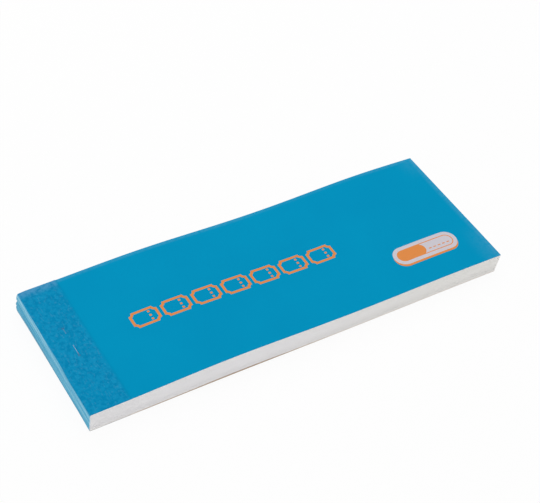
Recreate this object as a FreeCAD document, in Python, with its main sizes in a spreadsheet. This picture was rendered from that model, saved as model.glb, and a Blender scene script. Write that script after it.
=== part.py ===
"""A stapled pad of numbered tear-off tickets.

A block of thin paper leaves lies between a card cover and a chipboard back. A folded tape binds one short end,
and a wire staple goes through it. Each leaf is a stub, held by the staple, and a ticket that tears off along a
perforation. The cover turns back at a crease beside the tape.

The pad lies flat with its bound end towards -X and its cover up. The origin is under the middle of the pad.
Lengths are in millimetres. Each piece is drawn from the bound edge of the leaves, at the middle of the width,
and its placement puts that edge where it belongs.
"""
import FreeCAD, Part
import os

import Sketcher

# The leaves are counted in packs from the top, and the tickets of the first packs are separate pieces
PACK_COUNT = 10
PACK_SIZE = 10
SINGLE_PACKS = 2
LEAF_COUNT = PACK_COUNT * PACK_SIZE

SIZES = (
    ("pad_width", 68.0),
    ("board_length", 190.3),
    ("end_rake", 1.2),
    ("board_thickness", 0.75),
    ("leaf_thickness", 0.078),
    ("leaf_air", 0.005),
    ("cover_thickness", 0.25),
    ("tape_thickness", 0.2),
    ("tape_reach", 16.5),
    ("tape_groove_height", 5.65),
    ("tape_groove_depth", 0.12),
    ("tape_groove_width", 0.9),
    ("edge_gap", 0.05),
    ("crease_margin", 0.4),
    ("perforation_margin", 4.1),
    ("slit_length", 4.2),
    ("slit_width", 0.4),
    ("tie_width", 1.0),
    ("wire_diameter", 0.45),
    ("wire_clearance", 0.03),
    ("wire_bend_radius", 0.6),
    ("staple_inset", 8.5),
    ("staple_offset", 1.6),
    ("staple_span", 15.1),
    ("near_tip_length", 5.6),
    ("far_tip_length", 2.9),
)

# Places that follow from the sizes, written as the sheet's expressions
SPINE_X = "(sizes.tape_thickness - sizes.board_length - sizes.end_rake) / 2"
NEAR_SIDE = "-sizes.pad_width / 2"
FAR_SIDE = "sizes.pad_width / 2"
LEAF_PITCH = "(sizes.leaf_thickness + sizes.leaf_air)"
LEAVES_BOTTOM = "(sizes.board_thickness + sizes.leaf_air)"
COVER_BOTTOM = f"({LEAVES_BOTTOM} + {LEAF_COUNT} * {LEAF_PITCH})"
COVER_TOP = f"({COVER_BOTTOM} + sizes.cover_thickness)"
TAPE_TOP = f"({COVER_TOP} + sizes.tape_thickness)"
COVER_LENGTH = "(sizes.board_length + sizes.end_rake)"
CREASE_X = "(sizes.tape_reach + sizes.crease_margin)"
PERFORATION_X = f"({CREASE_X} + sizes.perforation_margin)"

# The staple's wire: the crown lies flush with the underside, and the tips lie on the cover
WIRE_RADIUS = "sizes.wire_diameter / 2"
HOLE_RADIUS = f"({WIRE_RADIUS} + sizes.wire_clearance)"
CROWN_Z = f"({WIRE_RADIUS} + sizes.wire_clearance)"
TIP_Z = f"({COVER_TOP} + {WIRE_RADIUS} + sizes.wire_clearance)"
NEAR_LEG_Y = "(sizes.staple_offset - sizes.staple_span / 2)"
FAR_LEG_Y = "(sizes.staple_offset + sizes.staple_span / 2)"
NEAR_TIP_Y = f"({NEAR_LEG_Y} + sizes.near_tip_length)"
FAR_TIP_Y = f"({FAR_LEG_Y} - sizes.far_tip_length)"

# The perforation: slits with ties between them, centred on the pad's width
SLIT_PITCH = "(sizes.slit_length + sizes.tie_width)"
SLIT_COUNT = f"floor(sizes.pad_width / {SLIT_PITCH})"
FIRST_SLIT_Y = f"(sizes.tie_width - {SLIT_COUNT} * {SLIT_PITCH}) / 2"

doc = FreeCAD.newDocument("ticket_pad")
pieces = []


def make_sheet():
    """The driving sizes, one to a row."""
    sheet = doc.addObject("Spreadsheet::Sheet", "sizes")
    for row, (alias, value) in enumerate(SIZES, start=1):
        sheet.set(f"A{row}", alias.replace("_", " "))
        sheet.set(f"B{row}", str(value))
        sheet.setAlias(f"B{row}", alias)
    doc.recompute()
    return sheet


def place(piece, level="0"):
    """Put the piece's own zero at the leaves' bound edge, at the given height."""
    piece.setExpression("Placement.Base.x", SPINE_X)
    piece.setExpression("Placement.Base.z", level)


def new_body(name, level="0"):
    body = doc.addObject("PartDesign::Body", name)
    body.Label = name
    place(body, level)
    pieces.append(body)
    return body


def new_sketch(body, name, role):
    """A sketch on one of the body's own origin planes."""
    sketch = body.newObject("Sketcher::SketchObject", name)
    plane = next(feature for feature in body.Origin.OriginFeatures if feature.Role == role)
    sketch.AttachmentSupport = [(plane, "")]
    sketch.MapMode = "FlatFace"
    return sketch


def fix_point(sketch, geometry, end, across, up):
    """Tie a point's two distances from the sketch's origin to expressions."""
    for kind, expression in (("DistanceX", across), ("DistanceY", up)):
        value = float(sketch.evalExpression(expression))
        index = sketch.addConstraint(Sketcher.Constraint(kind, -1, 1, geometry, end, value))
        sketch.setExpression(f"Constraints[{index}]", expression)


def sketch_vector(sketch, across, up):
    return FreeCAD.Vector(float(sketch.evalExpression(across)), float(sketch.evalExpression(up)), 0)


def add_outline(sketch, corners):
    """A closed outline of straight lines through corners given as pairs of expressions."""
    points = [sketch_vector(sketch, *corner) for corner in corners]
    first = sketch.GeometryCount
    for index, point in enumerate(points):
        following = points[(index + 1) % len(points)]
        sketch.addGeometry(Part.LineSegment(point, following), False)
    for index, corner in enumerate(corners):
        line = first + index
        following = first + (index + 1) % len(corners)
        sketch.addConstraint(Sketcher.Constraint("Coincident", line, 2, following, 1))
        fix_point(sketch, line, 1, *corner)


def add_rectangle(sketch, left, right, low, high):
    add_outline(sketch, [(left, low), (right, low), (right, high), (left, high)])


def add_circle(sketch, across, up, radius):
    centre = sketch_vector(sketch, across, up)
    size = float(sketch.evalExpression(radius))
    circle = sketch.addGeometry(Part.Circle(centre, FreeCAD.Vector(0, 0, 1), size), False)
    fix_point(sketch, circle, 3, across, up)
    index = sketch.addConstraint(Sketcher.Constraint("Radius", circle, size))
    sketch.setExpression(f"Constraints[{index}]", radius)


def add_leg_holes(sketch):
    """The two holes that the staple's legs go through."""
    for leg_y in (NEAR_LEG_Y, FAR_LEG_Y):
        add_circle(sketch, "sizes.staple_inset", leg_y, HOLE_RADIUS)


def add_wire_slot(sketch, low_y, high_y):
    """The slot that a stretch of the wire along Y presses into what it lies on."""
    left = f"sizes.staple_inset - {HOLE_RADIUS}"
    right = f"sizes.staple_inset + {HOLE_RADIUS}"
    add_rectangle(sketch, left, right, f"{low_y} - {HOLE_RADIUS}", f"{high_y} + {HOLE_RADIUS}")


def pad(body, sketch, length, symmetric=False):
    feature = body.newObject("PartDesign::Pad", f"{sketch.Name}_pad")
    feature.Profile = sketch
    feature.setExpression("Length", length)
    if symmetric:
        feature.SideType = "Symmetric"
    return feature


def pocket_up(body, sketch, depth=None):
    """Cut upwards from the sketch, right through where no depth is given."""
    feature = body.newObject("PartDesign::Pocket", f"{sketch.Name}_pocket")
    feature.Profile = sketch
    feature.Reversed = True
    if depth is None:
        feature.Type = "ThroughAll"
    else:
        feature.setExpression("Length", depth)
    return feature


def repeat(body, sketch, axis, spacing, count, feature=None):
    """Repeat a feature, or the whole body where none is given, along one of a sketch's axes."""
    doc.recompute()
    pattern = body.newObject("PartDesign::LinearPattern", f"{sketch.Name}_row")
    if feature is None:
        pattern.TransformMode = "Whole shape"
    else:
        pattern.Originals = [feature]
    pattern.Direction = (sketch, [axis])
    pattern.Mode = "Spacing"
    pattern.setExpression("Offset", spacing)
    pattern.setExpression("Occurrences", count)
    body.Tip = pattern
    return pattern


def leaf_index(number):
    """Leaves are numbered from the top, and counted here from the board up."""
    return LEAF_COUNT - number


def leaf_level(number):
    return f"{LEAVES_BOTTOM} + {leaf_index(number)} * {LEAF_PITCH}"


def pack_numbers(pack):
    """The leaf numbers in a pack, from its top leaf down."""
    return range((pack - 1) * PACK_SIZE + 1, pack * PACK_SIZE + 1)


def make_board():
    """The chipboard back. The tape and the staple's crown are let into its underside."""
    body = new_body("back_board")
    profile = new_sketch(body, "board_profile", "XZ_Plane")
    rebate_end = "sizes.tape_reach + sizes.edge_gap"
    corners = [
        ("0", "sizes.tape_thickness"),
        (rebate_end, "sizes.tape_thickness"),
        (rebate_end, "0"),
        ("sizes.board_length", "0"),
        ("sizes.board_length", "sizes.board_thickness"),
        ("0", "sizes.board_thickness"),
    ]
    add_outline(profile, corners)
    pad(body, profile, "sizes.pad_width", symmetric=True)
    holes = new_sketch(body, "board_leg_holes", "XY_Plane")
    add_leg_holes(holes)
    pocket_up(body, holes)
    groove = new_sketch(body, "board_crown_groove", "XY_Plane")
    add_wire_slot(groove, NEAR_LEG_Y, FAR_LEG_Y)
    pocket_up(body, groove, f"{CROWN_Z} + {HOLE_RADIUS}")


def make_stubs(pack):
    """A pack of stubs: the bound ends of the leaves, with the ties of the perforation on their free edges."""
    name = f"stub_pack_{pack:02d}"
    body = new_body(name, leaf_level(pack_numbers(pack)[-1]))
    body.AllowCompound = True
    leaf = new_sketch(body, f"{name}_leaf", "XY_Plane")
    add_rectangle(leaf, "0", PERFORATION_X, NEAR_SIDE, FAR_SIDE)
    add_leg_holes(leaf)
    pad(body, leaf, "sizes.leaf_thickness")
    slit = new_sketch(body, f"{name}_slit", "XY_Plane")
    slit_left = f"{PERFORATION_X} - sizes.slit_width"
    slit_right = f"{PERFORATION_X} + sizes.slit_width"
    add_rectangle(slit, slit_left, slit_right, FIRST_SLIT_Y, f"{FIRST_SLIT_Y} + sizes.slit_length")
    cut = pocket_up(body, slit)
    repeat(body, slit, "V_Axis", SLIT_PITCH, SLIT_COUNT, feature=cut)
    repeat(body, leaf, "N_Axis", LEAF_PITCH, str(PACK_SIZE))


def make_ticket(name, number):
    """One ticket: the free part of a leaf. The pad's free end is cut on a slant, so upper tickets are longer."""
    ticket = doc.addObject("Part::Box", name)
    ticket.Label = name
    share = (leaf_index(number) + 0.5) / LEAF_COUNT
    ticket.setExpression("Length", f"sizes.board_length - {PERFORATION_X} + {share} * sizes.end_rake")
    ticket.setExpression("Width", "sizes.pad_width")
    ticket.setExpression("Height", "sizes.leaf_thickness")
    ticket.setExpression("Placement.Base.x", f"{SPINE_X} + {PERFORATION_X}")
    ticket.setExpression("Placement.Base.y", NEAR_SIDE)
    ticket.setExpression("Placement.Base.z", leaf_level(number))
    return ticket


def make_tickets(pack):
    """A pack of tickets: separate pieces in the first packs, and one group below them."""
    tickets = [make_ticket(f"ticket_{number:03d}", number) for number in pack_numbers(pack)]
    if pack <= SINGLE_PACKS:
        pieces.extend(tickets)
        return
    group = doc.addObject("Part::Compound", f"ticket_pack_{pack:02d}")
    group.Label = group.Name
    group.Links = tickets
    pieces.append(group)


def make_cover():
    """The card cover, in two parts that meet at its crease: the strip under the tape and the flap."""
    strip = new_body("cover_bound_strip", COVER_BOTTOM)
    outline = new_sketch(strip, "strip_outline", "XY_Plane")
    add_rectangle(outline, "0", CREASE_X, NEAR_SIDE, FAR_SIDE)
    add_leg_holes(outline)
    pad(strip, outline, "sizes.cover_thickness")
    flap = new_body("cover_flap", COVER_BOTTOM)
    outline = new_sketch(flap, "flap_outline", "XY_Plane")
    add_rectangle(outline, f"{CREASE_X} + sizes.edge_gap", COVER_LENGTH, NEAR_SIDE, FAR_SIDE)
    pad(flap, outline, "sizes.cover_thickness")


def make_tape():
    """The binding tape: over the cover, down the spine with a groove along it, and under the board."""
    body = new_body("binding_tape")
    profile = new_sketch(body, "tape_profile", "XZ_Plane")
    outside = "-sizes.tape_thickness"
    groove = "sizes.tape_groove_height"
    corners = [
        ("sizes.tape_reach", "0"),
        ("sizes.tape_reach", "sizes.tape_thickness"),
        ("0", "sizes.tape_thickness"),
        ("0", COVER_TOP),
        ("sizes.tape_reach", COVER_TOP),
        ("sizes.tape_reach", TAPE_TOP),
        (outside, TAPE_TOP),
        (outside, f"{groove} + sizes.tape_groove_width / 2"),
        (f"{outside} + sizes.tape_groove_depth", groove),
        (outside, f"{groove} - sizes.tape_groove_width / 2"),
        (outside, "0"),
    ]
    add_outline(profile, corners)
    pad(body, profile, "sizes.pad_width", symmetric=True)
    crown = new_sketch(body, "tape_crown_slot", "XY_Plane")
    add_wire_slot(crown, NEAR_LEG_Y, FAR_LEG_Y)
    pocket_up(body, crown, COVER_BOTTOM)
    tips = new_sketch(body, "tape_tip_slots", "XY_Plane")
    tips.setExpression("AttachmentOffset.Base.z", COVER_BOTTOM)
    add_wire_slot(tips, NEAR_LEG_Y, NEAR_TIP_Y)
    add_wire_slot(tips, FAR_TIP_Y, FAR_LEG_Y)
    pocket_up(body, tips)


def add_wire_path(sketch):
    """The staple's centre line: tip, leg, crown, leg and tip, joined by bends of one radius."""
    bend = "sizes.wire_bend_radius"
    runs = [
        ((NEAR_TIP_Y, TIP_Z), (f"{NEAR_LEG_Y} + {bend}", TIP_Z)),
        ((NEAR_LEG_Y, f"{TIP_Z} - {bend}"), (NEAR_LEG_Y, f"{CROWN_Z} + {bend}")),
        ((f"{NEAR_LEG_Y} + {bend}", CROWN_Z), (f"{FAR_LEG_Y} - {bend}", CROWN_Z)),
        ((FAR_LEG_Y, f"{CROWN_Z} + {bend}"), (FAR_LEG_Y, f"{TIP_Z} - {bend}")),
        ((f"{FAR_LEG_Y} - {bend}", TIP_Z), (FAR_TIP_Y, TIP_Z)),
    ]
    lines = []
    for start, end in runs:
        segment = Part.LineSegment(sketch_vector(sketch, *start), sketch_vector(sketch, *end))
        line = sketch.addGeometry(segment, False)
        fix_point(sketch, line, 1, *start)
        fix_point(sketch, line, 2, *end)
        lines.append(line)
    for before, after in zip(lines, lines[1:]):
        add_bend(sketch, before, after)


def add_bend(sketch, before, after):
    """A quarter arc from the end of one run to the start of the next, tangent to both."""
    start = sketch.getPoint(before, 2)
    end = sketch.getPoint(after, 1)
    direction = start - sketch.getPoint(before, 1)
    corner = start + direction.normalize() * (end - start).dot(direction)
    centre = start + end - corner
    half_way = (start + end) / 2 - centre
    middle = centre + half_way.normalize() * start.distanceToPoint(centre)
    arc = sketch.addGeometry(Part.Arc(start, middle, end), False)
    first, last = sorted((1, 2), key=lambda tip: sketch.getPoint(arc, tip).distanceToPoint(start))
    sketch.addConstraint(Sketcher.Constraint("Tangent", before, 2, arc, first))
    sketch.addConstraint(Sketcher.Constraint("Coincident", arc, last, after, 1))


def make_staple():
    """One length of round wire, bent to a crown and two legs whose tips are clinched inwards."""
    body = new_body("staple")
    path = new_sketch(body, "staple_path", "YZ_Plane")
    path.setExpression("AttachmentOffset.Base.z", "sizes.staple_inset")
    add_wire_path(path)
    section = new_sketch(body, "staple_section", "XZ_Plane")
    section.setExpression("AttachmentOffset.Base.z", f"-{NEAR_TIP_Y}")
    add_circle(section, "sizes.staple_inset", TIP_Z, WIRE_RADIUS)
    doc.recompute()
    wire = body.newObject("PartDesign::AdditivePipe", "staple_wire")
    wire.Profile = section
    wire.Spine = path


def check_document():
    """Stop if any object failed, or any piece has no sound shape."""
    for item in doc.Objects:
        if "Invalid" in item.State or "Error" in item.State:
            raise RuntimeError(f"{item.Label}: {item.State}")
    for piece in pieces:
        if piece.Shape.isNull() or not piece.Shape.isValid() or not piece.Shape.Solids:
            raise RuntimeError(f"{piece.Label} has no sound shape")


def write_pieces():
    os.makedirs("parts", exist_ok=True)
    for piece in pieces:
        piece.Shape.exportStep(f"parts/{piece.Label}.step")
        print(f"{piece.Label}: {len(piece.Shape.Solids)} solids, {piece.Shape.Volume:.2f} cubic mm")


make_sheet()
make_board()
for pack in range(1, PACK_COUNT + 1):
    make_stubs(pack)
    make_tickets(pack)
make_cover()
make_tape()
make_staple()
doc.recompute()
check_document()
write_pieces()
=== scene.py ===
"""The looks of a stapled pad of numbered tear-off tickets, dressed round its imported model.

The pad lies with its bound end towards -X, its near side towards -Y and its cover up. Lengths are in metres,
and MM writes them as millimetres. Every sheet of the block takes the same gentle swell, so the sheets stay
together.
"""
import math
import random

import bmesh
import bpy
from mathutils import Matrix, Vector


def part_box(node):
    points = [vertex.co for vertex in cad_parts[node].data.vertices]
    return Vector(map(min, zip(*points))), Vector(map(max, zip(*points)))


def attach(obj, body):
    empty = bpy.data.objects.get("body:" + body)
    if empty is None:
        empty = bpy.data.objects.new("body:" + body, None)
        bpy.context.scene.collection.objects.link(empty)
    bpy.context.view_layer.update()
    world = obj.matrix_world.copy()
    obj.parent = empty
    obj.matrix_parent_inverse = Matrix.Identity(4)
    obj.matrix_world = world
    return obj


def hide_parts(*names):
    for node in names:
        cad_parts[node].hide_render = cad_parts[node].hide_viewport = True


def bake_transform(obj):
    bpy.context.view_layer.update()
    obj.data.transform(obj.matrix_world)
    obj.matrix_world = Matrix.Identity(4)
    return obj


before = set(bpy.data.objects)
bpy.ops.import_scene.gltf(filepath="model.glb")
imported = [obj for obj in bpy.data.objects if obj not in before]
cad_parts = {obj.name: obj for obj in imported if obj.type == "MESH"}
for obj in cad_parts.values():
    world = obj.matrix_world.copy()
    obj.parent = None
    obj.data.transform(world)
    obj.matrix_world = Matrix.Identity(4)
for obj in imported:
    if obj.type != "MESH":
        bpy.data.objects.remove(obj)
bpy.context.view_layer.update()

MM = 0.001
draws = random.Random(100)

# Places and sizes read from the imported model
FLAP_LOW, FLAP_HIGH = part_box("cover_flap")
STRIP_LOW, STRIP_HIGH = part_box("cover_bound_strip")
TAPE_LOW, TAPE_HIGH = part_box("binding_tape")
BOARD_LOW, BOARD_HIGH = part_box("back_board")
STAPLE_LOW, STAPLE_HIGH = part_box("staple")
FIRST_LOW, FIRST_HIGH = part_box("ticket_001")
SECOND_LOW, SECOND_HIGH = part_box("ticket_002")
NEAR = FLAP_LOW.y
FAR = FLAP_HIGH.y
SPINE = STRIP_LOW.x
CREASE = STRIP_HIGH.x
PERFORATION = FIRST_LOW.x
COVER_BOTTOM = FLAP_LOW.z
COVER_TOP = FLAP_HIGH.z
COVER_END = FLAP_HIGH.x
LEAF_THICKNESS = FIRST_HIGH.z - FIRST_LOW.z
LEAF_PITCH = FIRST_LOW.z - SECOND_LOW.z
LEAF_END_STEP = FIRST_HIGH.x - SECOND_HIGH.x
TAPE_THICKNESS = SPINE - TAPE_LOW.x
TAPE_EDGE = TAPE_HIGH.x
WIRE_DIAMETER = STAPLE_HIGH.x - STAPLE_LOW.x
STAPLE_X = (STAPLE_LOW.x + STAPLE_HIGH.x) / 2
NEAR_LEG = STAPLE_LOW.y + WIRE_DIAMETER / 2
FAR_LEG = STAPLE_HIGH.y - WIRE_DIAMETER / 2
PACK_SIZE = 10
LEAF_COUNT = 100

# The block swells beside its binding and lifts a little towards its free end, less at its foot
SWELL_NEAR = 1.54 * MM
SWELL_FAR = 1.7 * MM
SWELL_X_NEAR = -36.3 * MM
SWELL_X_FAR = -42.0 * MM
SWELL_REACH = 37.3 * MM
SWELL_FOOT = 0.22
LIFT_NEAR = 0.53 * MM
LIFT_FAR = 1.8 * MM
LIFT_X_NEAR = 69.8 * MM
LIFT_X_FAR = 65.9 * MM
LIFT_REACH_NEAR = 29.3 * MM
LIFT_REACH_FAR = 37.0 * MM
LIFT_FOOT = 0.43
HELD_REACH = 20.0 * MM
HELD_SIDE = 22.0 * MM
HELD_BESIDE_LEG = 1.0 * MM

# The free end was cut a little out of square, so the pad grows shorter towards its far side
END_SLANT = 0.0072
END_SLANT_START = -18.0 * MM

# The tape turns round the spine in a small curve
SPINE_ROUND = 0.48 * MM
SPINE_SEGMENTS = 5

# The spine has creases along it, and its foot stands out past its head, most at its two ends
GROOVE_LEVEL = 6.0 * MM
GROOVE_REACH = 0.7 * MM
GROOVE_NEAR_DEPTH = 0.1 * MM
GROOVE_FAR_DEPTH = 0.55 * MM
FOLD_LEVEL = 3.5 * MM
FOLD_LINE_REACH = 0.45 * MM
FOLD_NEAR_DEPTH = 0.05 * MM
FOLD_FAR_DEPTH = 0.24 * MM
LEAN_MIDDLE = 0.19 * MM
LEAN_ENDS = 0.38 * MM
LEAN_POWER = 5
FAR_BULGE = 0.5 * MM
CORNER_WEAR = 0.4 * MM
CORNER_REACH = 1.2 * MM

# The perforation: slits with ties between them, centred on the pad's width
SLIT_LENGTH = 4.2 * MM
TIE_WIDTH = 1.0 * MM
SLIT_PITCH = SLIT_LENGTH + TIE_WIDTH
SLIT_COUNT = int((FAR - NEAR) / SLIT_PITCH)
FIRST_SLIT = (TIE_WIDTH - SLIT_COUNT * SLIT_PITCH) / 2
STUB_NOTCH = 0.25 * MM
TICKET_NOTCH = 0.1 * MM

# How evenly the leaves were knocked up and cut, as a spread and a limit
LEAF_SPREAD = 0.022 * MM
LEAF_LIMIT = 0.05 * MM

# How finely the sheets are cut up to bend, and the smallest distance that a cut keeps
LEAF_STEP_X = 4.0 * MM
LEAF_STEP_Y = 17.0 * MM
COVER_STEP_X = 2.0 * MM
COVER_STEP_Y = 4.0 * MM
FOLD_STEP = 0.35 * MM
FOLD_REACH = 6.0 * MM
WELD = 0.0001 * MM

# Faces that meet at more than this angle keep a sharp edge between them
SHARP_ANGLE = math.radians(30)

# Ink stands a little proud of what it is printed on, a film for each layer, and starts a little below it
INK_SINK = 0.004 * MM
INK_FILM = 0.006 * MM
TICKET_INK_FILM = 0.002 * MM


def between(start, end, share):
    return start + (end - start) * share


def hump(distance, reach):
    return math.exp(-((distance / reach) ** 2))


def smooth_step(low, high, value):
    share = min(max((value - low) / (high - low), 0.0), 1.0)
    return share * share * (3 - 2 * share)


def span_gap(value, low, high):
    """How far a value lies outside a span."""
    return max(low - value, value - high, 0)


def share_across(place):
    """0 at the pad's near side and 1 at its far side."""
    return (place.y - NEAR) / (FAR - NEAR)


def rise(place):
    """How far the block stands above flat at a place. The staple holds the bound end down round itself."""
    across = share_across(place)
    level = place.z / COVER_TOP
    swell_x = between(SWELL_X_NEAR, SWELL_X_FAR, across)
    lift_x = between(LIFT_X_NEAR, LIFT_X_FAR, across)
    lift_reach = between(LIFT_REACH_NEAR, LIFT_REACH_FAR, across)
    swell = between(SWELL_NEAR, SWELL_FAR, across) * hump(place.x - swell_x, SWELL_REACH)
    lift = between(LIFT_NEAR, LIFT_FAR, across) * hump(place.x - lift_x, lift_reach)
    beside = smooth_step(HELD_SIDE, HELD_BESIDE_LEG, span_gap(place.y, NEAR_LEG, FAR_LEG))
    held = beside * (1 - smooth_step(STAPLE_X, STAPLE_X + HELD_REACH, place.x))
    return (1 - held) * (swell * between(SWELL_FOOT, 1, level) + lift * between(LIFT_FOOT, 1, level))


def drawn_in(place):
    """How far the spine lies in from its head: in at its creases, most at the far end, out at its foot."""
    across = share_across(place)
    deeper = across * across
    groove = between(GROOVE_NEAR_DEPTH, GROOVE_FAR_DEPTH, deeper) * hump(place.z - GROOVE_LEVEL, GROOVE_REACH)
    fold = between(FOLD_NEAR_DEPTH, FOLD_FAR_DEPTH, deeper) * hump(place.z - FOLD_LEVEL, FOLD_LINE_REACH)
    below = min(max(1 - place.z / COVER_TOP, 0), 1)
    lean = between(LEAN_MIDDLE, LEAN_ENDS, abs(2 * across - 1) ** LEAN_POWER) * below
    bulge = FAR_BULGE * deeper * deeper * 4 * below * (1 - below)
    return groove + fold - lean - bulge


def shape_spine(verts):
    """Move what lies at the spine to follow its creases and its lean, and round off its far corner."""
    for vert in verts:
        corner = smooth_step(TAPE_LOW.x + CORNER_REACH, TAPE_LOW.x, vert.co.x)
        if vert.co.y > FAR - CORNER_WEAR:
            vert.co.y -= CORNER_WEAR * corner
        if vert.co.x < SPINE + SPINE_ROUND:
            vert.co.x += drawn_in(vert.co)


def settle(verts):
    """Let flat sheets take the block's swell and the slant of its free end."""
    for vert in verts:
        vert.co.z += rise(vert.co)
        shorter = END_SLANT * max(vert.co.y - END_SLANT_START, 0)
        vert.co.x -= shorter * smooth_step(0, COVER_END, vert.co.x)


# Mesh tools shared by the pieces


def flat_face(bm, outline, level=0.0):
    """One flat face from the points of its outline."""
    return bm.faces.new([bm.verts.new((x, y, level)) for x, y in outline])


def rectangle(left, right, near, far):
    return [(left, near), (right, near), (right, far), (left, far)]


def thicken(bm, faces, offset):
    """Extrude faces along an offset, so that they become a closed slab."""
    grown = bmesh.ops.extrude_face_region(bm, geom=faces)
    moved = [item for item in grown["geom"] if isinstance(item, bmesh.types.BMVert)]
    bmesh.ops.translate(bm, verts=moved, vec=offset)
    bmesh.ops.recalc_face_normals(bm, faces=bm.faces)


def stations(low, high, step):
    """Evenly spaced places between two ends, about a step apart."""
    count = max(1, round((high - low) / step))
    return [between(low, high, index / count) for index in range(1, count)]


def slice_up(bm, axis, places):
    """Cut the whole mesh across an axis at each place, so that it can bend there."""
    normal = Vector([float(axis == name) for name in "XYZ"])
    for place in places:
        everything = bm.verts[:] + bm.edges[:] + bm.faces[:]
        bmesh.ops.bisect_plane(bm, geom=everything, dist=WELD, plane_co=normal * place, plane_no=normal)


def keep_lie(bm):
    """Store where each point lies in a flat block, for finishes that follow the sheet."""
    lie = bm.verts.layers.float_vector.new("lie")
    for vert in bm.verts:
        vert[lie] = vert.co


def finished_mesh(name, bm):
    """Turn a bmesh into a mesh, and free it."""
    mesh = bpy.data.meshes.new(name)
    bm.to_mesh(mesh)
    bm.free()
    return mesh


def make_piece(name, bm, finishes):
    """Turn a bmesh into a piece of the scene."""
    mesh = finished_mesh(name, bm)
    mesh.shade_smooth()
    mesh.set_sharp_from_angle(angle=SHARP_ANGLE)
    for finish in finishes:
        mesh.materials.append(finish)
    piece = bpy.data.objects.new(name, mesh)
    bpy.context.scene.collection.objects.link(piece)
    return piece


# Shader tools


class Signal:
    """A value in a finish. Arithmetic on signals adds Math nodes."""

    def __init__(self, graph, socket):
        self.graph = graph
        self.socket = socket

    def joined(self, operation, first, second):
        return self.graph.node("ShaderNodeMath", {"operation": operation}, {0: first, 1: second})

    def __add__(self, other):
        return self.joined("ADD", self, other)

    def __radd__(self, other):
        return self.joined("ADD", other, self)

    def __sub__(self, other):
        return self.joined("SUBTRACT", self, other)

    def __rsub__(self, other):
        return self.joined("SUBTRACT", other, self)

    def __mul__(self, other):
        return self.joined("MULTIPLY", self, other)

    def __rmul__(self, other):
        return self.joined("MULTIPLY", other, self)

    def __pow__(self, other):
        return self.joined("POWER", self, other)

    def __abs__(self):
        return self.joined("ABSOLUTE", self, 0.0)

    def largest(self, other):
        return self.joined("MAXIMUM", self, other)


class Graph:
    """The nodes of one finish, of the floor or of the sky."""

    def __init__(self, tree):
        self.tree = tree
        tree.nodes.clear()

    def node(self, kind, settings=None, sockets=None, output=0):
        """Add a node: its settings first, then its sockets' values or links. Gives one of its outputs."""
        node = self.tree.nodes.new(kind)
        for name, value in (settings or {}).items():
            setattr(node, name, value)
        for name, value in (sockets or {}).items():
            if isinstance(value, Signal):
                self.tree.links.new(value.socket, node.inputs[name])
            else:
                node.inputs[name].default_value = value
        if output is None:
            return node
        return Signal(self, node.outputs[output])

    def split(self, place):
        """The three coordinates of a place."""
        node = self.node("ShaderNodeSeparateXYZ", {}, {"Vector": place}, None)
        return [Signal(self, output) for output in node.outputs]

    def noise(self, place, size, detail=2.0, stretch=(1, 1, 1)):
        """Noise from 0 to 1 with features of about a size, longer along an axis whose stretch is above 1."""
        scale = [1 / (size * factor) for factor in stretch]
        spread = self.node("ShaderNodeMapping", {}, {"Vector": place, "Scale": scale})
        sockets = {"Vector": spread, "Scale": 1.0, "Detail": detail, "Roughness": 0.6}
        return self.node("ShaderNodeTexNoise", {}, sockets)

    def ramp(self, value, low, high):
        """0 at low and 1 at high, smooth between. Low may be above high."""
        if low > high:
            return 1.0 - self.ramp(value, high, low)
        sockets = {"Value": value, "From Min": low, "From Max": high}
        return self.node("ShaderNodeMapRange", {"interpolation_type": "SMOOTHSTEP"}, sockets)

    def mix(self, share, first, second):
        """A colour between two colours."""
        return self.node("ShaderNodeMix", {"data_type": "RGBA"}, {0: share, 6: first, 7: second}, 2)

    def bump(self, height, distance, strength=1.0):
        return self.node("ShaderNodeBump", {}, {"Height": height, "Distance": distance, "Strength": strength})

    def close(self, sockets):
        """End a finish with its shader."""
        shader = self.node("ShaderNodeBsdfPrincipled", {}, sockets)
        self.node("ShaderNodeOutputMaterial", {}, {"Surface": shader}, None)


def paint(red, green, blue):
    """A colour in the usual steps from 0 to 255, as the linear values that a shader takes."""
    shares = [step / 255 for step in (red, green, blue)]
    linear = [share / 12.92 if share <= 0.04045 else ((share + 0.055) / 1.055) ** 2.4 for share in shares]
    return (*linear, 1.0)


def start_finish(name, attribute=None):
    """A new finish, its graph, and the place its pattern is drawn on: the object's own or a stored one."""
    material = bpy.data.materials.new(name)
    material.use_nodes = True
    graph = Graph(material.node_tree)
    if attribute:
        place = graph.node("ShaderNodeAttribute", {"attribute_name": attribute}, {}, "Vector")
    else:
        place = graph.node("ShaderNodeTexCoord", {}, {}, "Object")
    return material, graph, place


# Finishes


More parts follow.
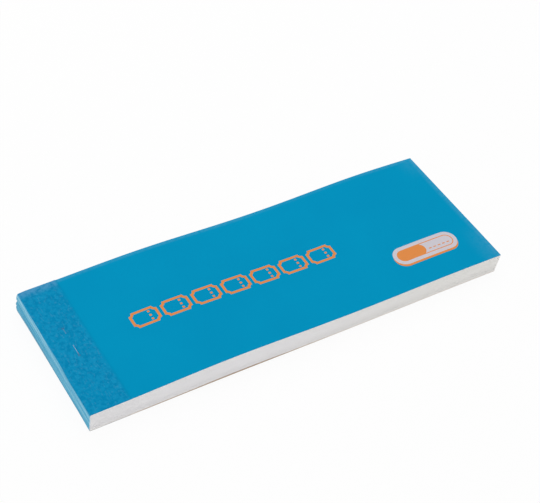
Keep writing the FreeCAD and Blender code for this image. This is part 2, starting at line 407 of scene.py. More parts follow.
def cover_card_finish():
    """White card printed blue: faintly cloudy, with fine fibre, paler worn edges, a painted highlight line
    just inside the far edge, and a plain inside.
    """
    material, graph, place = start_finish("blue_cover_card", attribute="lie")
    x, y, z = graph.split(place)
    cloud = graph.noise(place, 28 * MM)
    fibre = graph.noise(place, 0.35 * MM, 3.0, (2.5, 1, 1))
    scuff = graph.noise(place, 1.6 * MM, 4.0)
    blue = graph.mix(cloud, paint(0, 141, 187), paint(0, 149, 193))
    blue = graph.mix(0.1 * fibre, blue, paint(0, 158, 201))
    far_gap = FAR - y
    end_gap = COVER_END - x
    # Painted highlight: a pale line just inside the far edge, where the curled edge catches the light.
    far_sheen_line = graph.ramp(far_gap, 2.2 * MM, 0.7 * MM) * graph.ramp(far_gap, 0, 0.5 * MM)
    far_sheen_line = far_sheen_line * (1.0 - 0.5 * graph.ramp(abs(x - 42 * MM), 42 * MM, 18 * MM))
    corner = graph.ramp(abs(y - 4 * MM), 14 * MM, 32 * MM)
    free_edge = graph.ramp(end_gap, 3.2 * MM, 0.5 * MM) * (0.7 + 0.3 * corner)
    haze = graph.ramp(end_gap, 11 * MM, 0) * corner
    # The paler edges: real wear at the free end, and the painted highlight line inside the far edge, both
    # broken up by scuffs.
    worn = (0.17 * far_sheen_line).largest(0.25 * free_edge).largest(0.12 * haze) * graph.ramp(scuff, 0.2, 0.6)
    colour = graph.mix(worn, blue, paint(122, 180, 213))
    inside = graph.ramp(z, COVER_BOTTOM + 0.05 * MM, COVER_BOTTOM + 0.02 * MM)
    colour = graph.mix(inside, colour, graph.mix(fibre, paint(224, 225, 224), paint(238, 238, 236)))
    grain = graph.bump(fibre + 0.6 * scuff, 0.02 * MM, 0.5)
    graph.close({
        "Base Color": colour, "Roughness": 0.6 + 0.15 * fibre, "Normal": grain, "Specular IOR Level": 0.015,
    })
    return material


def tape_finish():
    """Fibrous blue tape: mottled, rubbed pale along the spine, white where cut, and grey at its foot, partly
    as painted contact shadow.
    """
    material, graph, place = start_finish("blue_binding_tape", attribute="lie")
    x, y, z = graph.split(place)
    mottle = graph.noise(place, 1.5 * MM, 2.0)
    patch = graph.noise(place, 6 * MM, 2.0)
    fibre = graph.noise(place, 0.75 * MM, 3.0, (1, 2.0, 1))
    face = graph.mix(graph.ramp(mottle, 0.34, 0.66), paint(0, 129, 176), paint(18, 144, 190))
    face = graph.mix(0.4 * graph.ramp(patch, 0.35, 0.65), face, paint(0, 139, 185))
    face = graph.mix(0.4 * graph.ramp(fibre, 0.5, 0.76), face, paint(66, 147, 188))
    fray = graph.ramp(FAR - y, 5.0 * MM, 0.8 * MM) * graph.ramp(mottle, 0.2, 0.65)
    face = graph.mix(0.42 * fray, face, paint(108, 156, 198))
    feather = graph.ramp(x + 1.0 * MM * (mottle - 0.5), TAPE_EDGE - 1.0 * MM, TAPE_EDGE)
    face = graph.mix(0.6 * feather, face, paint(0, 145, 190))
    slant = z - 0.04 * y
    run = graph.node("ShaderNodeCombineXYZ", {}, {"Y": y, "Z": slant})
    streak = graph.noise(run, 0.8 * MM, 3.0, (1, 45, 1))
    near = graph.ramp(y, 0, -18 * MM)
    band = graph.ramp(slant + 0.6 * MM * near, 4.4 * MM, 7.0 * MM) * graph.ramp(slant, 9.9 * MM, 8.3 * MM)
    pale = graph.mix(band, paint(122, 195, 221), paint(156, 211, 232))
    dark = graph.mix(band, paint(70, 159, 197), paint(90, 174, 208))
    rubbed = graph.mix(graph.ramp(streak, 0.36, 0.62), dark, pale)
    rubbed_foot = graph.ramp(z, 2.8 * MM, 1.0 * MM) * graph.ramp(y, -14 * MM, 14 * MM)
    rubbed = graph.mix(0.5 * rubbed_foot, rubbed, paint(152, 188, 202))
    spine = graph.ramp(x, SPINE + 0.6 * MM, SPINE + 0.2 * MM)
    spine = spine * graph.ramp(z, TAPE_HIGH.z - 0.03 * MM, TAPE_HIGH.z - 0.2 * MM)
    spine = spine * graph.ramp(z + 1.2 * MM * near, TAPE_HIGH.z + 0.9 * MM, TAPE_HIGH.z)
    colour = graph.mix(spine, face, rubbed)
    cut = graph.ramp(abs(y), FAR - 0.4 * MM, FAR - 0.05 * MM) * spine
    colour = graph.mix(0.75 * cut, colour, paint(226, 230, 234))
    # Painted shade: the cut ends are greyed at their foot, in part a painted contact shadow where the pad
    # meets the floor.
    foot = graph.ramp(abs(y), FAR - 0.3 * MM, FAR - 0.05 * MM) * graph.ramp(z, 0.5 * MM, 0.3 * MM)
    colour = graph.mix(0.9 * foot, colour, paint(160, 159, 158))
    for leg_y, reach in ((NEAR_LEG, 0.8 * MM), (FAR_LEG, 0.9 * MM)):
        colour = rust_spot(graph, colour, x, y - leg_y, reach)
    grain = graph.bump(fibre + mottle, 0.06 * MM, 0.6)
    graph.close({
        "Base Color": colour, "Roughness": 0.7 + 0.2 * mottle, "Normal": grain, "Specular IOR Level": 0.03,
    })
    return material


def rust_spot(graph, colour, x, along, reach):
    """A brown stain where the wire comes through."""
    aside = x - STAPLE_X
    away = (aside * aside + along * along) ** 0.5
    return graph.mix(0.3 * graph.ramp(away, reach, 0.2 * MM), colour, paint(96, 74, 92))


def paper_finish():
    """White slip paper with a faint tooth, warmer at its free end, and with close lines on its cut edges."""
    material, graph, place = start_finish("slip_paper")
    x, y, _ = graph.split(place)
    tooth = graph.noise(place, 0.3 * MM, 3.0)
    cloud = graph.noise(place, 12 * MM, 2.0)
    lines = graph.noise(place, 0.11 * MM, 2.0, (60, 60, 1))
    knife = graph.noise(place, 0.5 * MM, 2.0, (1, 1, 12))
    white = graph.mix(cloud, paint(239, 238, 239), paint(243, 242, 243))
    white = graph.mix(graph.ramp(x, -30 * MM, 70 * MM), white, paint(240, 239, 236))
    cut = graph.ramp(abs(y), FAR - 0.4 * MM, FAR - 0.1 * MM)
    cut = cut.largest(graph.ramp(x, COVER_END - 2.4 * MM, COVER_END - 1.8 * MM))
    shade = cut * (0.14 * graph.ramp(lines, 0.42, 0.7) + 0.05 * graph.ramp(knife, 0.5, 0.8)) + 0.03 * tooth
    colour = graph.mix(shade, white, paint(206, 203, 206))
    grain = graph.bump(tooth, 0.012 * MM, 0.5)
    graph.close({"Base Color": colour, "Roughness": 0.86, "Normal": grain, "Specular IOR Level": 0.2})
    return material


def chipboard_finish():
    """Grey-brown pulp board with dark and pale flecks. Its cut edge is brown at its foot, partly as painted
    contact shadow, brownest and highest left of its middle, where painted shade stands for the edge lifting
    off the floor.
    """
    material, graph, place = start_finish("back_chipboard", attribute="lie")
    x, y, z = graph.split(place)
    pulp = graph.noise(place, 1.2 * MM, 4.0)
    fleck = graph.noise(place, 0.45 * MM, 2.0, (2, 1, 0.5))
    colour = graph.mix(pulp, paint(186, 168, 148), paint(208, 193, 176))
    colour = graph.mix(0.5 * graph.ramp(fleck, 0.6, 0.75), colour, paint(146, 126, 107))
    colour = graph.mix(0.4 * graph.ramp(fleck, 0.38, 0.25), colour, paint(222, 210, 196))
    cut = graph.ramp(abs(y), FAR - 0.3 * MM, FAR - 0.02 * MM)
    cut = cut.largest(graph.ramp(x, BOARD_HIGH.x - 0.3 * MM, BOARD_HIGH.x - 0.02 * MM))
    # Painted shade: the brown band at the foot of the cut edge is partly a contact shadow, and it reaches
    # higher round x = -32 mm to stand for the shade where the edge lifts off the floor.
    full = graph.ramp(abs(x + 32 * MM), 26 * MM, 6 * MM)
    brown = graph.ramp(z - 0.3 * MM * full, 0.55 * MM, 0.35 * MM)
    brown = brown * graph.ramp(x, -90 * MM, -66 * MM) * (0.35 + 0.65 * graph.ramp(x, 22 * MM, -14 * MM))
    edge = graph.mix(brown, paint(246, 243, 239), paint(184, 162, 140))
    colour = graph.mix(cut, colour, edge)
    grain = graph.bump(pulp + fleck, 0.04 * MM, 0.6)
    graph.close({"Base Color": colour, "Roughness": 0.9, "Normal": grain, "Specular IOR Level": 0.2})
    return material


def wire_finish():
    """Galvanised wire, drawn along its length and browned where it comes through the tape."""
    material, graph, place = start_finish("staple_wire")
    _, y, _ = graph.split(place)
    drawn = graph.noise(place, 0.06 * MM, 2.0, (1, 20, 20))
    patch = graph.noise(place, 0.7 * MM, 3.0)
    steel = graph.mix(patch, paint(92, 114, 140), paint(140, 160, 184))
    near_hole = graph.ramp(abs(y - NEAR_LEG), 2.2 * MM, 0.7 * MM)
    far_hole = graph.ramp(abs(y - FAR_LEG), 3.4 * MM, 1.2 * MM)
    rust = near_hole.largest(far_hole) * graph.ramp(patch, 0.25, 0.6)
    colour = graph.mix(rust, steel, paint(128, 84, 76))
    grain = graph.bump(drawn, 0.01 * MM, 0.4)
    graph.close({
        "Base Color": colour, "Roughness": 0.5 + 0.3 * rust, "Metallic": 1.0 - 0.75 * rust, "Normal": grain,
    })
    return material


def ink_finish(name, thin, full):
    """Printing ink that lies a little unevenly on its card."""
    material, graph, place = start_finish(name)
    lay = graph.noise(place, 0.6 * MM, 3.0)
    colour = graph.mix(lay, thin, full)
    graph.close({"Base Color": colour, "Roughness": 0.5 + 0.1 * lay, "Specular IOR Level": 0.3})
    return material


COVER_CARD = cover_card_finish()
TAPE = tape_finish()
PAPER = paper_finish()
CHIPBOARD = chipboard_finish()
WIRE = wire_finish()
ORANGE_INK = ink_finish("orange_ink", paint(213, 126, 50), paint(225, 137, 58))
PALE_INK = ink_finish("pale_ink", paint(195, 191, 199), paint(206, 201, 209))
BLUE_INK = ink_finish("blue_ink", paint(22, 92, 140), paint(30, 104, 152))


# The leaves


def perforated_edge(x, notch):
    """The points of a perforated edge from near to far, set back by a notch at each slit."""
    points = [(x, NEAR)]
    for index in range(SLIT_COUNT):
        start = FIRST_SLIT + index * SLIT_PITCH
        end = start + SLIT_LENGTH
        points += [(x, start), (x + notch, start), (x + notch, end), (x, end)]
    points.append((x, FAR))
    return points


def leaf_pattern(name, outline, cuts_x):
    """One leaf at height zero, cut up to bend, as a mesh to copy."""
    bm = bmesh.new()
    face = flat_face(bm, outline)
    thicken(bm, [face], (0, 0, LEAF_THICKNESS))
    slice_up(bm, "X", cuts_x)
    slice_up(bm, "Y", stations(NEAR, FAR, LEAF_STEP_Y))
    return finished_mesh(name, bm)


def ticket_pattern():
    torn = perforated_edge(PERFORATION, TICKET_NOTCH)
    outline = [(FIRST_HIGH.x, NEAR), (FIRST_HIGH.x, FAR)] + torn[::-1]
    return leaf_pattern("ticket_pattern", outline, stations(PERFORATION, FIRST_HIGH.x, LEAF_STEP_X))


def stub_pattern():
    outline = perforated_edge(PERFORATION, -STUB_NOTCH) + [(SPINE, FAR), (SPINE, NEAR)]
    return leaf_pattern("stub_pattern", outline, stations(SPINE, PERFORATION, LEAF_STEP_X))


def leaf_level(number):
    """The underside of a leaf. Leaves are numbered from the top."""
    return FIRST_LOW.z - (number - 1) * LEAF_PITCH


def slip():
    """How far one leaf lies out of line."""
    return max(-LEAF_LIMIT, min(LEAF_LIMIT, draws.gauss(0, LEAF_SPREAD)))


TICKET_PATTERN = ticket_pattern()
STUB_PATTERN = stub_pattern()
LEAF_SLIPS = [(slip(), slip()) for _ in range(LEAF_COUNT)]


def add_leaf(bm, pattern, number):
    """Copy a leaf into a mesh at its height and out of line by its slip. Gives its vertices."""
    before = len(bm.verts)
    bm.from_mesh(pattern)
    bm.verts.ensure_lookup_table()
    verts = bm.verts[before:]
    along, across = LEAF_SLIPS[number - 1]
    bmesh.ops.translate(bm, verts=verts, vec=(along, across, leaf_level(number)))
    return verts


def ticket_share(number):
    """A ticket's length as a share of the first one's. The end is raked, so lower tickets are shorter."""
    full = FIRST_HIGH.x - PERFORATION
    return (full - (number - 1) * LEAF_END_STEP) / full


def add_ticket(bm, number):
    """The free part of a leaf."""
    share = ticket_share(number)
    for vert in add_leaf(bm, TICKET_PATTERN, number):
        vert.co.x = between(PERFORATION, vert.co.x, share)


def add_stub(bm, number):
    """The bound part of a leaf. Its edge follows the spine."""
    shape_spine(add_leaf(bm, STUB_PATTERN, number))


# The print on a ticket: its number and three ruled lines, which lie on the leaf's cuts and so bend as it does
NUMBER_HEIGHT = 11 * MM
NUMBER_PLACE = (62 * MM, -4 * MM)
NUMBER_CURVE_STEPS = 3
RULE_LEFT = -58 * MM
RULE_RIGHT = 44 * MM
RULE_WIDTH = 0.35 * MM
RULE_GAP = LEAF_STEP_Y


def numeral_mesh(number):
    """A ticket's number as a flat mesh."""
    letters = bpy.data.curves.new("numeral", "FONT")
    letters.body = str(number)
    letters.size = NUMBER_HEIGHT
    letters.resolution_u = NUMBER_CURVE_STEPS
    holder = bpy.data.objects.new("numeral", letters)
    mesh = bpy.data.meshes.new_from_object(holder)
    bpy.data.objects.remove(holder)
    bpy.data.curves.remove(letters)
    return mesh


def add_ticket_print(bm, number):
    """Ink on a ticket's face, in the second finish of its mesh."""
    ink = bmesh.new()
    ink.from_mesh(numeral_mesh(number))
    bmesh.ops.translate(ink, verts=ink.verts, vec=(*NUMBER_PLACE, 0))
    for line in (-1, 0, 1):
        low = line * RULE_GAP - RULE_WIDTH / 2
        flat_face(ink, rectangle(RULE_LEFT, RULE_RIGHT, low, low + RULE_WIDTH))
    bmesh.ops.recalc_face_normals(ink, faces=ink.faces)
    bmesh.ops.translate(ink, verts=ink.verts, vec=(0, 0, leaf_level(number) + LEAF_THICKNESS - INK_SINK))
    thicken(ink, ink.faces[:], (0, 0, INK_SINK + TICKET_INK_FILM))
    share = ticket_share(number)
    cuts = stations(PERFORATION, FIRST_HIGH.x, LEAF_STEP_X)
    slice_up(ink, "X", [between(PERFORATION, place, share) for place in cuts])
    for face in ink.faces:
        face.material_index = 1
    bm.from_mesh(finished_mesh("ticket_print", ink))


def pack_numbers(pack):
    return range((pack - 1) * PACK_SIZE + 1, pack * PACK_SIZE + 1)


def make_tickets(node, numbers):
    """The tickets of one node, with the print on the one that lies uppermost."""
    bm = bmesh.new()
    for number in numbers:
        add_ticket(bm, number)
    add_ticket_print(bm, numbers[0])
    settle(bm.verts)
    piece = make_piece(f"{node}_paper", bm, [PAPER, BLUE_INK])
    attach(piece, node)
    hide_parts(node)


def make_stubs(node, numbers):
    bm = bmesh.new()
    for number in numbers:
        add_stub(bm, number)
    settle(bm.verts)
    piece = make_piece(f"{node}_paper", bm, [PAPER])
    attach(piece, "pad_base")
    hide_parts(node)


def make_leaves():
    for pack in range(1, LEAF_COUNT // PACK_SIZE + 1):
        numbers = pack_numbers(pack)
        make_stubs(f"stub_pack_{pack:02d}", numbers)
        group = f"ticket_pack_{pack:02d}"
        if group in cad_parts:
            make_tickets(group, numbers)
            continue
        for number in numbers:
            make_tickets(f"ticket_{number:03d}", [number])


# The cover


def make_cover():
    """One sheet of card from the spine to the free end, which turns back at the crease beside the tape."""
    bm = bmesh.new()
    face = flat_face(bm, rectangle(SPINE, COVER_END, NEAR, FAR), COVER_BOTTOM)
    thicken(bm, [face], (0, 0, COVER_TOP - COVER_BOTTOM))
    slice_up(bm, "X", stations(SPINE, CREASE, COVER_STEP_X) + [CREASE])
    slice_up(bm, "X", stations(CREASE, CREASE + FOLD_REACH, FOLD_STEP) + [CREASE + FOLD_REACH])
    slice_up(bm, "X", stations(CREASE + FOLD_REACH, COVER_END, COVER_STEP_X))
    slice_up(bm, "Y", stations(NEAR, FAR, COVER_STEP_Y))
    keep_lie(bm)
    shape_spine(bm.verts)
    settle(bm.verts)
    piece = make_piece("cover_card", bm, [COVER_CARD])
    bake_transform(piece)
    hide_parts("cover_flap", "cover_bound_strip")


def print_on_cover(name, bm, layer, finish):
    """Lay flat shapes, drawn at height zero, on the cover as ink. A higher layer stands over a lower one."""
    bmesh.ops.translate(bm, verts=bm.verts, vec=(0, 0, COVER_TOP - INK_SINK))
    thicken(bm, bm.faces[:], (0, 0, INK_SINK + INK_FILM * layer))
    slice_up(bm, "X", stations(CREASE, COVER_END, COVER_STEP_X))
    slice_up(bm, "Y", stations(NEAR, FAR, COVER_STEP_Y))
    settle(bm.verts)
    piece = make_piece(name, bm, [finish])
    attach(piece, "cover")


# A row of small ticket outlines along the cover
SIGN_LEFT = -62.1 * MM
SIGN_PITCH = 13.7 * MM
SIGN_COUNT = 7
SIGN_LENGTH = 12.2 * MM
SIGN_LOW = -4.4 * MM
SIGN_HIGH = 4.0 * MM
SIGN_STROKE = 1.1 * MM
SIGN_BITE = 1.5 * MM
SIGN_BITE_STEPS = 4
SIGN_TEAR = 8.4 * MM
SIGN_DOT = 0.95 * MM
SIGN_DOT_COUNT = 3


def bitten_corner(x, y, start_angle):
    """The points of a quarter-round bite out of a corner, anticlockwise round the ticket."""
    points = []
    for step in range(SIGN_BITE_STEPS + 1):
        angle = math.radians(start_angle - 90 * step / SIGN_BITE_STEPS)
        points.append((x + SIGN_BITE * math.cos(angle), y + SIGN_BITE * math.sin(angle)))
    return points


def add_ticket_sign(bm, left):
    """A ticket in outline with bitten corners, and dots along its tear line."""
    right = left + SIGN_LENGTH
    outline = bitten_corner(left, SIGN_LOW, 90) + bitten_corner(right, SIGN_LOW, 180)
    outline += bitten_corner(right, SIGN_HIGH, 270) + bitten_corner(left, SIGN_HIGH, 360)
    face = flat_face(bm, outline)
    bm.normal_update()
    bmesh.ops.inset_region(bm, faces=[face], thickness=SIGN_STROKE, use_even_offset=True, use_boundary=True)
    bmesh.ops.delete(bm, geom=[face], context="FACES_ONLY")
    tear = left + SIGN_TEAR
    pitch = (SIGN_HIGH - SIGN_LOW - 2 * SIGN_STROKE) / SIGN_DOT_COUNT
    for index in range(SIGN_DOT_COUNT):
        low = SIGN_LOW + SIGN_STROKE + pitch * (index + 0.5) - SIGN_DOT / 2
        flat_face(bm, rectangle(tear - SIGN_DOT / 2, tear + SIGN_DOT / 2, low, low + SIGN_DOT))


def make_ticket_signs():
    bm = bmesh.new()
    for index in range(SIGN_COUNT):
        add_ticket_sign(bm, SIGN_LEFT + index * SIGN_PITCH)
    print_on_cover("cover_ticket_signs", bm, 1, ORANGE_INK)


# A round-ended label near the free end, with a filled tab and an empty field to write in
LABEL_LEFT = 52.5 * MM
LABEL_RIGHT = 84.2 * MM
LABEL_LOW = -21.6 * MM
LABEL_HIGH = -11.7 * MM
LABEL_RIM = 1.0 * MM
LABEL_RIM_SIDE = 0.3 * MM
LABEL_BORDER = 1.8 * MM
LABEL_LINE = 0.4 * MM
LABEL_TAB = 14.0 * MM
LABEL_SEGMENTS = 12
LABEL_ROUND_SHARE = 0.999
WRITING_DASH = 1.3 * MM
WRITING_WIDTH = 0.5 * MM
WRITING_COUNT = 5
WRITING_LEVEL = 0.3


def round_ended(bm, left, right, low, high):
    """A flat face with half-round ends."""
    face = flat_face(bm, rectangle(left, right, low, high))
    radius = (high - low) / 2 * LABEL_ROUND_SHARE
    bmesh.ops.bevel(
        bm, geom=face.verts[:], offset=radius, affect="VERTICES", segments=LABEL_SEGMENTS,
        profile=0.5, material=-1,
    )


def make_label():
    shadow = bmesh.new()
    rim_left = LABEL_LEFT - LABEL_RIM_SIDE
    rim_right = LABEL_RIGHT - LABEL_RIM_SIDE
    round_ended(shadow, rim_left, rim_right, LABEL_LOW - LABEL_RIM, LABEL_HIGH - LABEL_RIM)
    print_on_cover("label_rim", shadow, 1, ORANGE_INK)
    plate = bmesh.new()
    round_ended(plate, LABEL_LEFT, LABEL_RIGHT, LABEL_LOW, LABEL_HIGH)
    print_on_cover("label_plate", plate, 2, PALE_INK)
    make_label_lines()


def make_label_lines():
    """The line round the label's field, the filled tab at its left and a dashed line to write on."""
    left = LABEL_LEFT + LABEL_BORDER
    right = LABEL_RIGHT - LABEL_BORDER
    low = LABEL_LOW + LABEL_BORDER
    high = LABEL_HIGH - LABEL_BORDER
    line = bmesh.new()
    round_ended(line, left, right, low, high)
    line.normal_update()
    field = line.faces[:]
    bmesh.ops.inset_region(line, faces=field, thickness=LABEL_LINE, use_even_offset=True, use_boundary=True)
    bmesh.ops.delete(line, geom=field, context="FACES_ONLY")
    print_on_cover("label_line", line, 3, ORANGE_INK)
    tab = bmesh.new()
    round_ended(tab, left, left + LABEL_TAB, low, high)
    print_on_cover("label_tab", tab, 4, ORANGE_INK)
    writing = bmesh.new()
    start = left + LABEL_TAB + WRITING_DASH
    pitch = (right - WRITING_DASH - start) / WRITING_COUNT
    level = low + (high - low) * WRITING_LEVEL
    for index in range(WRITING_COUNT):
        dash = start + index * pitch
        flat_face(writing, rectangle(dash, dash + WRITING_DASH, level, level + WRITING_WIDTH))
    print_on_cover("label_writing_line", writing, 3, ORANGE_INK)


# The binding tape, the board and the staple
TAPE_STEP_X = 3.0 * MM
TAPE_STEP_Y = 2.0 * MM
TAPE_STEP_Z = 0.3 * MM
RIDGE_REACH = 0.75 * MM
RIDGE_CREST = 0.1 * MM
RIDGE_STEP_X = 0.1 * MM
RIDGE_STEP_Y = 0.4 * MM
NEAR_TIP = 5.6 * MM
FAR_TIP = 2.9 * MM
NEAR_COVER = 0.93
FAR_COVER = 0.985
WIRE_CLEARANCE = 0.04 * MM
BOARD_STEP = 8.0 * MM
CROWN_LEFT = STAPLE_LOW.x - WIRE_CLEARANCE
CROWN_RIGHT = STAPLE_HIGH.x + WIRE_CLEARANCE
CROWN_NEAR = STAPLE_LOW.y - WIRE_CLEARANCE
CROWN_FAR = STAPLE_HIGH.y + WIRE_CLEARANCE
CROWN_TOP = STAPLE_LOW.z + WIRE_DIAMETER + WIRE_CLEARANCE
CROWN_LAYERS = TAPE_THICKNESS * 1.5
LEVEL_FACE = 0.9


def section_along_pad(bm, corners):
    """A bar across the pad's width from the corners of its section."""
    face = bm.faces.new([bm.verts.new((x, NEAR, z)) for x, z in corners])
    thicken(bm, [face], (0, FAR - NEAR, 0))


def in_crown_window(face):
    """Whether a level face lies where the staple's crown does, within the lower layers."""
    middle = face.calc_center_median()
    inside = CROWN_LEFT < middle.x < CROWN_RIGHT and CROWN_NEAR < middle.y < CROWN_FAR
    return inside and middle.z < CROWN_LAYERS and abs(face.normal.z) > LEVEL_FACE


def cut_crown_window(bm):
    slice_up(bm, "X", [CROWN_LEFT, CROWN_RIGHT])
    slice_up(bm, "Y", [CROWN_NEAR, CROWN_FAR])
    bm.normal_update()
    return [face for face in bm.faces if in_crown_window(face)]


def wire_ridge(place):
    """How far the tape stands up beside the staple's tips, which have worn through it along their crests."""
    if place.z < COVER_TOP + WELD:
        return 0.0
    aside = smooth_step(RIDGE_REACH, RIDGE_CREST, abs(place.x - STAPLE_X))
    near_tip = smooth_step(RIDGE_REACH, 0, span_gap(place.y, NEAR_LEG, NEAR_LEG + NEAR_TIP)) * NEAR_COVER
    far_tip = smooth_step(RIDGE_REACH, 0, span_gap(place.y, FAR_LEG - FAR_TIP, FAR_LEG)) * FAR_COVER
    return aside * max(near_tip, far_tip) * (STAPLE_HIGH.z - TAPE_HIGH.z)


def make_tape():
    """The tape folded round the bound end, with a slot below for the staple's crown."""
    bm = bmesh.new()
    corners = [
        (TAPE_EDGE, 0), (TAPE_EDGE, TAPE_THICKNESS), (SPINE, TAPE_THICKNESS), (SPINE, COVER_TOP),
        (TAPE_EDGE, COVER_TOP), (TAPE_EDGE, TAPE_HIGH.z), (TAPE_LOW.x, TAPE_HIGH.z), (TAPE_LOW.x, 0),
    ]
    section_along_pad(bm, corners)
    folds = [edge for edge in bm.edges if all(vert.co.x < SPINE - WELD for vert in edge.verts)]
    folds = [edge for edge in folds if abs(edge.verts[0].co.y - edge.verts[1].co.y) > TAPE_THICKNESS]
    bmesh.ops.bevel(
        bm, geom=folds, offset=SPINE_ROUND, affect="EDGES", segments=SPINE_SEGMENTS, profile=0.5, material=-1,
    )
    slice_up(bm, "Z", stations(TAPE_THICKNESS + SPINE_ROUND, COVER_TOP - SPINE_ROUND, TAPE_STEP_Z))
    slice_up(bm, "X", stations(SPINE + SPINE_ROUND, TAPE_EDGE, TAPE_STEP_X))
    slice_up(bm, "X", stations(STAPLE_X - RIDGE_REACH, STAPLE_X + RIDGE_REACH, RIDGE_STEP_X))
    slice_up(bm, "Y", stations(NEAR, FAR, TAPE_STEP_Y))
    slice_up(bm, "Y", stations(NEAR_LEG - RIDGE_REACH, FAR_LEG + RIDGE_REACH, RIDGE_STEP_Y))
    bmesh.ops.delete(bm, geom=cut_crown_window(bm), context="FACES")
    bmesh.ops.bridge_loops(bm, edges=[edge for edge in bm.edges if edge.is_boundary])
    for vert in bm.verts:
        vert.co.z += wire_ridge(vert.co)
    keep_lie(bm)
    shape_spine(bm.verts)
    settle(bm.verts)
    bmesh.ops.recalc_face_normals(bm, faces=bm.faces)
    piece = make_piece("binding_tape_cloth", bm, [TAPE])
    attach(piece, "pad_base")
    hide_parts("binding_tape")


def make_board():
    """The chipboard back. The tape and the staple's crown are pressed into its underside."""
    bm = bmesh.new()
    corners = [
        (SPINE, TAPE_THICKNESS), (TAPE_EDGE, TAPE_THICKNESS), (TAPE_EDGE, BOARD_LOW.z),
        (BOARD_HIGH.x, BOARD_LOW.z), (BOARD_HIGH.x, BOARD_HIGH.z), (SPINE, BOARD_HIGH.z),
    ]
    section_along_pad(bm, corners)
    slice_up(bm, "X", stations(TAPE_EDGE, BOARD_HIGH.x, BOARD_STEP))
    slice_up(bm, "Y", stations(NEAR, FAR, BOARD_STEP))
    window = cut_crown_window(bm)
    grown = bmesh.ops.extrude_face_region(bm, geom=window)
    raised = [item for item in grown["geom"] if isinstance(item, bmesh.types.BMVert)]
    bmesh.ops.translate(bm, verts=raised, vec=(0, 0, CROWN_TOP - TAPE_THICKNESS))
    bmesh.ops.delete(bm, geom=[face for face in window if face.is_valid], context="FACES")
    keep_lie(bm)
    shape_spine(bm.verts)
    settle(bm.verts)
    bmesh.ops.recalc_face_normals(bm, faces=bm.faces)
    piece = make_piece("back_board_card", bm, [CHIPBOARD])
    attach(piece, "pad_base")
    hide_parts("back_board")


def dress_staple():
    """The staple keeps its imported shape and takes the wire's finish."""
    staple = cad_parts["staple"]
    staple.data.materials.clear()
    staple.data.materials.append(WIRE)


# The camera, the lamps and the floor
VIEW_AZIMUTH = -35.333
VIEW_ELEVATION = 44.753
VIEW_ROLL = 6.815
VIEW_DISTANCE = 588.263 * MM
VIEW_TARGET = Vector((13.264 * MM, 18.49 * MM, 0))
FOCAL_PIXELS = 1374.39
IMAGE_WIDTH = 540
SENSOR_WIDTH = 36.0
NEAREST_SEEN = 10 * MM
SKY_LIGHT = 0.42
FLOOR_SIZE = 12.0
FLOOR_GAP = 0.01 * MM
FLOOR_WHITE = 0.93
FLOOR_COLOUR = (0.9, 0.9, 0.9, 1)
WHITE = (1, 1, 1, 1)


def place_camera():
    azimuth = math.radians(VIEW_AZIMUTH)
    elevation = math.radians(VIEW_ELEVATION)
    roll = math.radians(VIEW_ROLL)
    flat = math.cos(elevation)
    back = Vector((math.sin(azimuth) * flat, -math.cos(azimuth) * flat, math.sin(elevation)))
    level = Vector((math.cos(azimuth), math.sin(azimuth), 0))
    upright = back.cross(level)
    right = level * math.cos(roll) + upright * math.sin(roll)
    up = upright * math.cos(roll) - level * math.sin(roll)
    lens = bpy.data.cameras.new("photo_camera")
    lens.sensor_width = SENSOR_WIDTH
    lens.lens = FOCAL_PIXELS * SENSOR_WIDTH / IMAGE_WIDTH
    lens.clip_start = NEAREST_SEEN
    camera = bpy.data.objects.new("photo_camera", lens)
    turn = Matrix((right, up, back)).transposed()
    camera.matrix_world = Matrix.LocRotScale(VIEW_TARGET + back * VIEW_DISTANCE, turn, None)
    bpy.context.scene.collection.objects.link(camera)
    bpy.context.scene.camera = camera


def add_lamp(name, place, size, power):
    """A square soft lamp that faces the pad."""
    lamp = bpy.data.lights.new(name, "AREA")
    lamp.size = size
    lamp.energy = power
    holder = bpy.data.objects.new(name, lamp)
    aim = Vector(place).to_track_quat("Z", "Y")
    holder.matrix_world = Matrix.LocRotScale(Vector(place), aim, None)
    bpy.context.scene.collection.objects.link(holder)


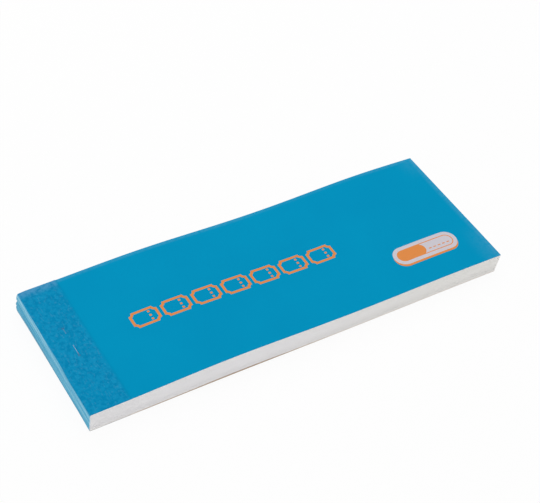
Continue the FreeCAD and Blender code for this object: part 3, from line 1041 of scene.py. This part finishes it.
def seen_directly(graph):
    """1 for rays from the camera, a mirror or glass, and 0 for rays that gather light."""
    path = graph.node("ShaderNodeLightPath", {}, {}, None)
    seen = [Signal(graph, path.outputs[f"Is {kind} Ray"]) for kind in ("Camera", "Glossy", "Transmission")]
    return seen[0].largest(seen[1]).largest(seen[2])


def make_sky():
    """White where it is seen, and softer as a lamp."""
    world = bpy.data.worlds.new("studio")
    world.use_nodes = True
    graph = Graph(world.node_tree)
    light = graph.node("ShaderNodeBackground", {}, {"Color": WHITE, "Strength": SKY_LIGHT})
    backdrop = graph.node("ShaderNodeBackground", {}, {"Color": WHITE, "Strength": 1.0})
    sky = graph.node("ShaderNodeMixShader", {}, {0: seen_directly(graph), 1: light, 2: backdrop})
    graph.node("ShaderNodeOutputWorld", {}, {"Surface": sky}, None)
    bpy.context.scene.world = world


def make_floor():
    """A white floor that keeps a faint shadow of the pad."""
    material = bpy.data.materials.new("white_floor")
    material.use_nodes = True
    graph = Graph(material.node_tree)
    matt = graph.node("ShaderNodeBsdfDiffuse", {}, {"Color": FLOOR_COLOUR})
    white = graph.node("ShaderNodeEmission", {}, {"Color": WHITE, "Strength": 1.0})
    share = FLOOR_WHITE * seen_directly(graph)
    surface = graph.node("ShaderNodeMixShader", {}, {0: share, 1: matt, 2: white})
    graph.node("ShaderNodeOutputMaterial", {}, {"Surface": surface}, None)
    bm = bmesh.new()
    half = FLOOR_SIZE / 2
    flat_face(bm, rectangle(-half, half, -half, half), -FLOOR_GAP)
    mesh = finished_mesh("floor", bm)
    mesh.materials.append(material)
    floor = bpy.data.objects.new("floor", mesh)
    bpy.context.scene.collection.objects.link(floor)


place_camera()
make_sky()
make_floor()
add_lamp("overhead_softbox", place=(0.1, 0.45, 0.7), size=0.9, power=4.4)
add_lamp("front_fill", place=(0.2, -0.8, 0.3), size=0.6, power=1.9)
add_lamp("spine_fill", place=(-0.9, -0.2, 0.4), size=0.6, power=2.4)
bpy.context.scene.view_settings.view_transform = "Standard"
make_board()
make_leaves()
make_cover()
make_ticket_signs()
make_label()
make_tape()
dress_staple()
